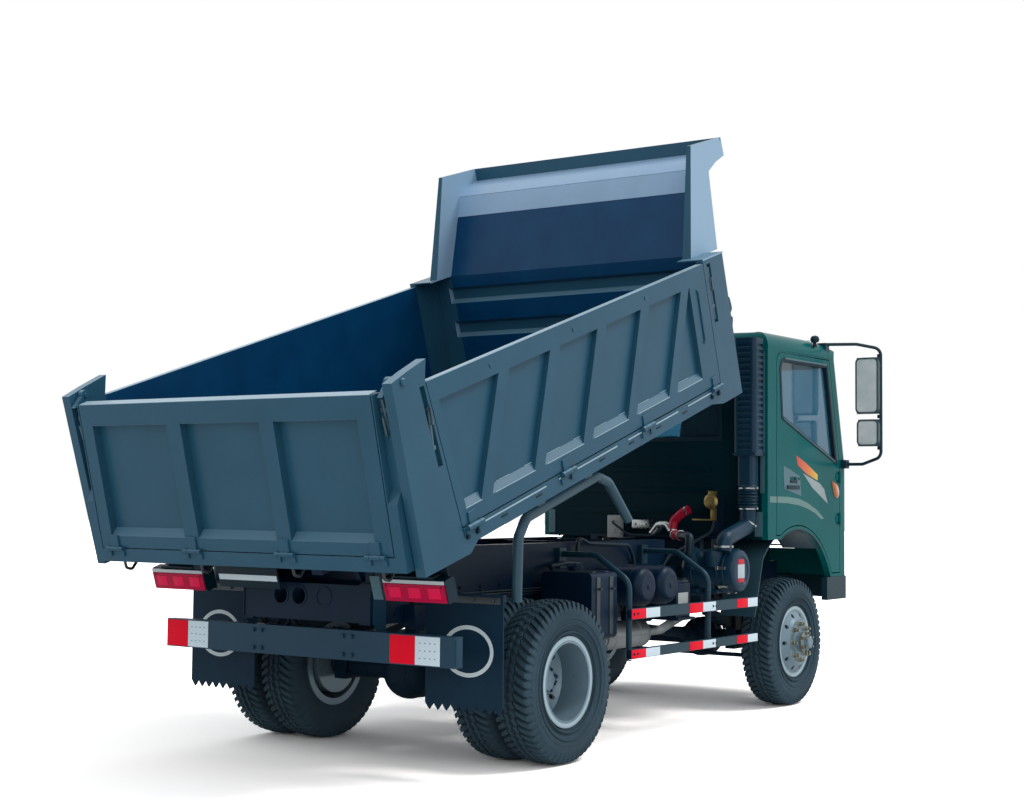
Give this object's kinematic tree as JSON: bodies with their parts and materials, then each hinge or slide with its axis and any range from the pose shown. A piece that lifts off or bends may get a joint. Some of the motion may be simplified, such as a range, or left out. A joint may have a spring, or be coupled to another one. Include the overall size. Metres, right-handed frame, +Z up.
{
  "type": "dump truck",
  "caption": "light four-wheel-drive tipper truck with a forward cab and a steel dump body whose sides and tailgate drop",
  "frame": {"origin": "on the ground, at the middle of the truck's box in plan", "axes": "+X forward along the truck, +Y to its left, +Z up"},
  "size_m": [5.4986, 2.36, 3.5675],
  "materials": {
    "bed_paint": "satin",
    "cab_paint": "gloss",
    "frame_paint": "satin",
    "rim_paint": "satin",
    "tyre_rubber": "matte",
    "rubber": "matte",
    "cast_iron": "matte",
    "steel_rod": "polished",
    "black_plastic": "matte",
    "lamp_red": "gloss",
    "lamp_clear": "gloss",
    "glass": "clear",
    "seat_fabric": "woven",
    "rust_steel": "heat-stained"
  },
  "bodies": {
    "chassis": {"frame_rails": "frame_paint", "frame_crossmembers": "frame_paint", "subframe_rails": "frame_paint", "spring_hangers": "frame_paint", "leaf_springs": "cast_iron", "rear_axle": "cast_iron", "front_axle": "cast_iron", "rear_bumper": "bed_paint", "flap_hangers": "frame_paint", "mud_flaps": "rubber", "side_guards": "bed_paint", "engine": "cast_iron", "driveline": "cast_iron", "exhaust": "rust_steel", "hydraulic_tank": "frame_paint", "fuel_tank": "frame_paint", "air_tanks": "frame_paint", "battery_box": "black_plastic", "air_cleaner": "black_plastic", "air_intake": "black_plastic", "cab_floor": "cab_paint", "cab_rear_wall": "cab_paint", "cab_sides": "cab_paint", "cab_front": "cab_paint", "cab_roof": "cab_paint", "cab_glass": "glass", "seats": "seat_fabric", "dashboard": "black_plastic", "front_bumper": "bed_paint", "headlamps": "lamp_clear", "front_mudguards": "black_plastic", "mirrors": "black_plastic"},
    "knuckle_l": {"knuckle_left": "cast_iron"},
    "knuckle_r": {"knuckle_right": "cast_iron"},
    "tie_rod_body": {"tie_rod": "cast_iron"},
    "wheel_front_l": {"front_tyre_left": "tyre_rubber", "front_rim_left": "rim_paint"},
    "wheel_front_r": {"front_tyre_right": "tyre_rubber", "front_rim_right": "rim_paint"},
    "wheels_rear_l": {"rear_tyres_left": "tyre_rubber", "rear_rims_left": "rim_paint"},
    "wheels_rear_r": {"rear_tyres_right": "tyre_rubber", "rear_rims_right": "rim_paint"},
    "door_l": {"door_left": "cab_paint", "door_glass_left": "glass"},
    "door_r": {"door_right": "cab_paint", "door_glass_right": "glass"},
    "tipper_bed": {"bed_floor": "bed_paint", "bed_frame": "bed_paint", "bed_posts": "bed_paint", "bed_headboard": "bed_paint", "fender_tubes": "bed_paint", "tail_lamps": "lamp_red", "spare_wheel": "tyre_rubber"},
    "side_board_l": {"side_board_left": "bed_paint"},
    "side_board_r": {"side_board_right": "bed_paint"},
    "gate_frame": {"tailgate_frame": "bed_paint"},
    "gate_panel": {"tailgate_panel": "bed_paint"},
    "barrel": {"hoist_barrel": "frame_paint"},
    "ram": {"hoist_rod": "steel_rod"}
  },
  "joints": [
    {"name": "bed_tip", "type": "hinge", "parent": "chassis", "child": "tipper_bed", "pos_m": [-2.03562, 0, 0.98], "axis": [0, -1, 0], "range_deg": [-18, 34]},
    {"name": "hoist_swing", "type": "hinge", "parent": "chassis", "child": "barrel", "pos_m": [-0.16862, 0, 0.7], "axis": [0, -1, 0], "range_deg": [-14, 8]},
    {"name": "hoist_stroke", "type": "slide", "parent": "barrel", "child": "ram", "axis": [-0.8755, 0, 0.4833], "range_m": [-0.23, 0.45]},
    {"name": "side_board_left_drop", "type": "hinge", "parent": "tipper_bed", "child": "side_board_l", "pos_m": [-2.11967, 1.094, 1.23869], "axis": [-0.9511, 0, -0.309], "range_deg": [0, 170]},
    {"name": "side_board_right_drop", "type": "hinge", "parent": "tipper_bed", "child": "side_board_r", "pos_m": [-2.11967, -1.094, 1.23869], "axis": [0.9511, 0, 0.309], "range_deg": [0, 170]},
    {"name": "tailgate_swing", "type": "hinge", "parent": "tipper_bed", "child": "gate_frame", "pos_m": [-2.66961, 0, 1.86332], "axis": [0, 1, 0], "range_deg": [0, 62]},
    {"name": "tailgate_drop", "type": "hinge", "parent": "gate_frame", "child": "gate_panel", "pos_m": [-2.57542, 0, 1.08256], "axis": [0, -1, 0], "range_deg": [0, 92]},
    {"name": "door_left_swing", "type": "hinge", "parent": "chassis", "child": "door_l", "pos_m": [2.48638, 0.874, 1.2], "axis": [0, 0, -1], "range_deg": [0, 65]},
    {"name": "door_right_swing", "type": "hinge", "parent": "chassis", "child": "door_r", "pos_m": [2.48638, -0.874, 1.2], "axis": [0, 0, 1], "range_deg": [0, 65]},
    {"name": "steer_left", "type": "hinge", "parent": "chassis", "child": "knuckle_l", "pos_m": [1.83138, 0.614, 0.42], "axis": [0, 0, 1], "range_deg": [-30, 30]},
    {"name": "steer_right", "type": "hinge", "parent": "chassis", "child": "knuckle_r", "pos_m": [1.83138, -0.614, 0.42], "axis": [0, 0, 1], "range_deg": [-30, 30]},
    {"name": "tie_rod_swing", "type": "hinge", "parent": "knuckle_l", "child": "tie_rod_body", "pos_m": [1.64138, 0.614, 0.346], "axis": [0, 0, 1], "range_deg": [-30, 30]},
    {"name": "wheel_front_left_spin", "type": "hinge", "parent": "knuckle_l", "child": "wheel_front_l", "pos_m": [1.83138, 0.744, 0.42], "axis": [0, 1, 0], "continuous": true},
    {"name": "wheel_front_right_spin", "type": "hinge", "parent": "knuckle_r", "child": "wheel_front_r", "pos_m": [1.83138, -0.744, 0.42], "axis": [0, 1, 0], "continuous": true},
    {"name": "wheels_rear_left_spin", "type": "hinge", "parent": "chassis", "child": "wheels_rear_l", "pos_m": [-1.18862, 0.78, 0.42], "axis": [0, 1, 0], "continuous": true},
    {"name": "wheels_rear_right_spin", "type": "hinge", "parent": "chassis", "child": "wheels_rear_r", "pos_m": [-1.18862, -0.78, 0.42], "axis": [0, 1, 0], "continuous": true}
  ],
  "couplings": [
    {"joint": "hoist_swing", "follows": "bed_tip", "ratio": -0.36},
    {"joint": "hoist_stroke", "follows": "bed_tip", "m_per_rad": 0.7},
    {"joint": "steer_right", "follows": "steer_left", "ratio": 1},
    {"joint": "tie_rod_swing", "follows": "steer_left", "ratio": -1}
  ]
}
